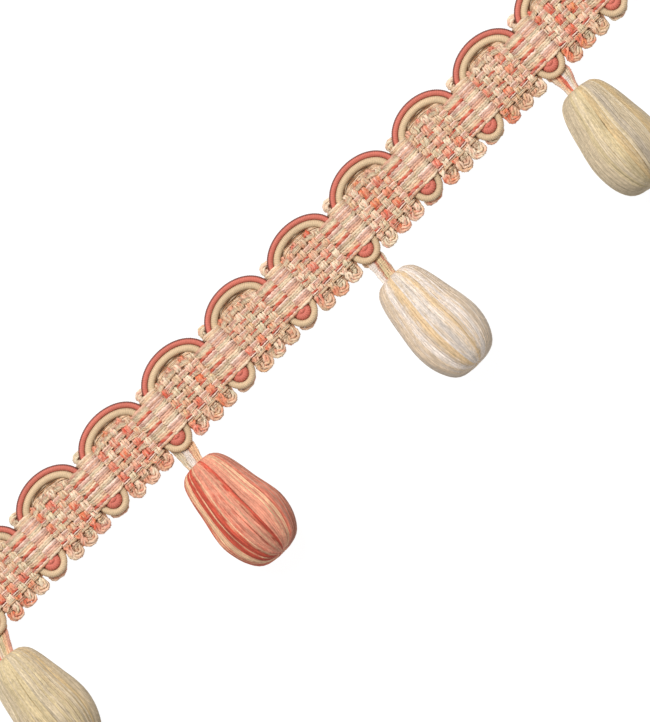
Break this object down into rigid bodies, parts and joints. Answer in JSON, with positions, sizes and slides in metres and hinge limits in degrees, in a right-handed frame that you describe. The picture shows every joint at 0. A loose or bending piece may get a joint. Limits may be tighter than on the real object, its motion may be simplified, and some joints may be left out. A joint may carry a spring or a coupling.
{
  "type": "beaded fringe trim",
  "caption": "Length of narrow woven trim with scalloped cord edging, small eyes and picots, and pear-shaped thread-wound drops hanging at even intervals",
  "frame": {"origin": "middle of the whole trim's footprint, on the surface that the trim's flat back lies on", "axes": "+X along the trim's length, +Y across it towards the scallops, with the drops towards -Y, and +Z out of its face"},
  "size_m": [0.2394, 0.0536, 0.0178],
  "materials": {
    "heading_yarn": "space-dyed twisted yarn, matt",
    "coral_gimp": "wrapped gimp cord, slight sheen",
    "ecru_gimp": "wrapped gimp cord, slight sheen",
    "hanger_floss": "soft floss, matt",
    "gold_floss": "lengthwise wound floss, soft sheen",
    "coral_floss": "lengthwise wound floss, soft sheen",
    "cream_floss": "lengthwise wound floss, soft sheen"
  },
  "bodies": {
    "root": {"heading": "heading_yarn", "coral_cord": "coral_gimp", "ecru_cord": "ecru_gimp", "hanger_1": "hanger_floss", "hanger_2": "hanger_floss", "hanger_3": "hanger_floss", "hanger_4": "hanger_floss", "drop_1": "gold_floss", "drop_2": "coral_floss", "drop_3": "cream_floss", "drop_4": "gold_floss"}
  },
  "joints": []
}
